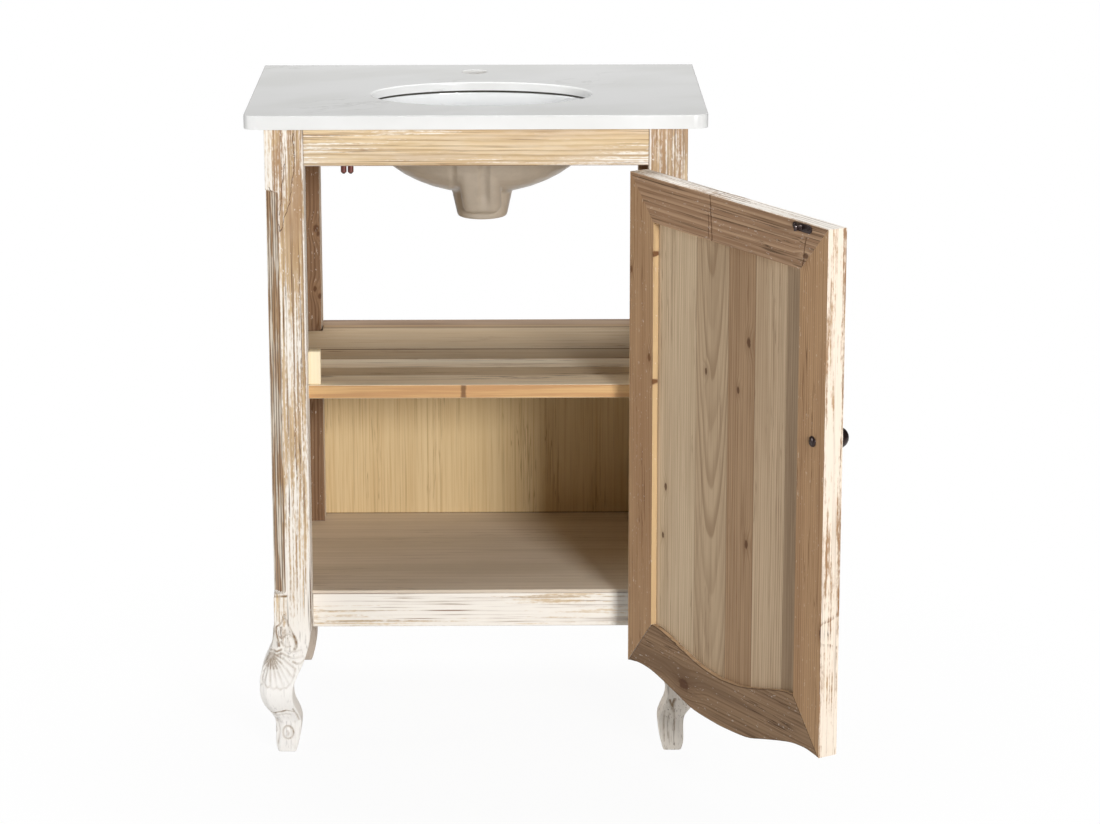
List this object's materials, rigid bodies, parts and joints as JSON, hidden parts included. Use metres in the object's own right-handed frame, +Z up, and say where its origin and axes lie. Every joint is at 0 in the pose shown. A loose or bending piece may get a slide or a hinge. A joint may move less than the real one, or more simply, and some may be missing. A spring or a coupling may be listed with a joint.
{
  "type": "washstand with marble top",
  "caption": "Free-standing pine washstand on cabriole legs, with a marble slab, an undermounted oval basin, an open shelf and one right-hung framed door.",
  "frame": {"origin": "on the floor, on the centre line of the front left leg", "axes": "+X to the right along the front, +Y to the back, +Z up; the door stands open at rest"},
  "size_m": [0.7542, 0.8171, 0.87],
  "materials": {
    "marble": "polished",
    "white_glaze": "gloss",
    "sealant": "satin",
    "limed_pine": "matt, whitewashed, brushed grain",
    "tan_pine": "matt, lightly limed",
    "aged_pine": "matt, unfinished",
    "pale_pine": "matt, unfinished",
    "pale_plywood": "matt, unfinished",
    "grey_board": "matt, unfinished",
    "dark_metal": "semi-gloss",
    "roller_metal": "semi-gloss",
    "bright_steel": "satin"
  },
  "bodies": {
    "cabinet": {"marble_top": "marble", "basin": "white_glaze", "rim_seal": "sealant", "basin_clips": "bright_steel", "clip_screws": "bright_steel", "front_leg_left": "limed_pine", "front_leg_right": "limed_pine", "rear_leg_left": "limed_pine", "rear_leg_right": "limed_pine", "front_top_rail": "tan_pine", "front_bottom_rail": "limed_pine", "rear_top_rail": "aged_pine", "rear_shelf_rail": "aged_pine", "rear_bottom_rail": "aged_pine", "side_top_rail_left": "limed_pine", "side_top_rail_right": "limed_pine", "side_bottom_rail_left": "limed_pine", "side_bottom_rail_right": "limed_pine", "side_panel_left": "limed_pine", "side_panel_right": "limed_pine", "middle_shelf": "aged_pine", "shelf_cleats": "aged_pine", "shelf_blocks": "pale_pine", "bottom_board": "grey_board", "back_panel": "pale_plywood", "catch_block": "aged_pine", "catch_base": "dark_metal", "catch_screws": "dark_metal", "catch_pins": "bright_steel", "catch_springs": "bright_steel", "hinge_frame_leaves": "dark_metal", "hinge_frame_screws": "dark_metal", "hinge_pins": "dark_metal"},
    "door": {"door_hinge_stile": "aged_pine", "door_free_stile": "aged_pine", "door_top_rail": "aged_pine", "door_bottom_rail": "aged_pine", "door_board_1": "aged_pine", "door_board_2": "aged_pine", "door_board_3": "aged_pine", "door_board_4": "aged_pine", "door_board_5": "aged_pine", "hinge_door_leaves": "dark_metal", "hinge_door_screws": "dark_metal", "strike_plate": "dark_metal", "strike_screws": "dark_metal", "knob": "dark_metal", "knob_screw": "dark_metal"},
    "left_arm": {"catch_arm_left": "dark_metal"},
    "right_arm": {"catch_arm_right": "dark_metal"},
    "left_roller": {"catch_roller_left": "roller_metal"},
    "right_roller": {"catch_roller_right": "roller_metal"}
  },
  "joints": [
    {"name": "door_hinge", "type": "hinge", "parent": "cabinet", "child": "door", "pos_m": [0.472, -0.0265, 0.4665], "axis": [0, 0, 1], "range_deg": [-120, 15]},
    {"name": "left_arm_pivot", "type": "hinge", "parent": "cabinet", "child": "left_arm", "pos_m": [0.0735, 0.0248, 0.7994], "axis": [0, 0, -1], "range_deg": [0, 8], "stiffness_Nm_per_rad": 0.6, "springref_deg": -6.88},
    {"name": "right_arm_pivot", "type": "hinge", "parent": "cabinet", "child": "right_arm", "pos_m": [0.0875, 0.0248, 0.7994], "axis": [0, 0, 1], "range_deg": [0, 8], "stiffness_Nm_per_rad": 0.6, "springref_deg": -6.88},
    {"name": "left_roller_spin", "type": "hinge", "parent": "left_arm", "child": "left_roller", "pos_m": [0.07595, 0.0073, 0.793], "axis": [0, 0, 1], "continuous": true},
    {"name": "right_roller_spin", "type": "hinge", "parent": "right_arm", "child": "right_roller", "pos_m": [0.08505, 0.0073, 0.793], "axis": [0, 0, 1], "continuous": true}
  ]
}
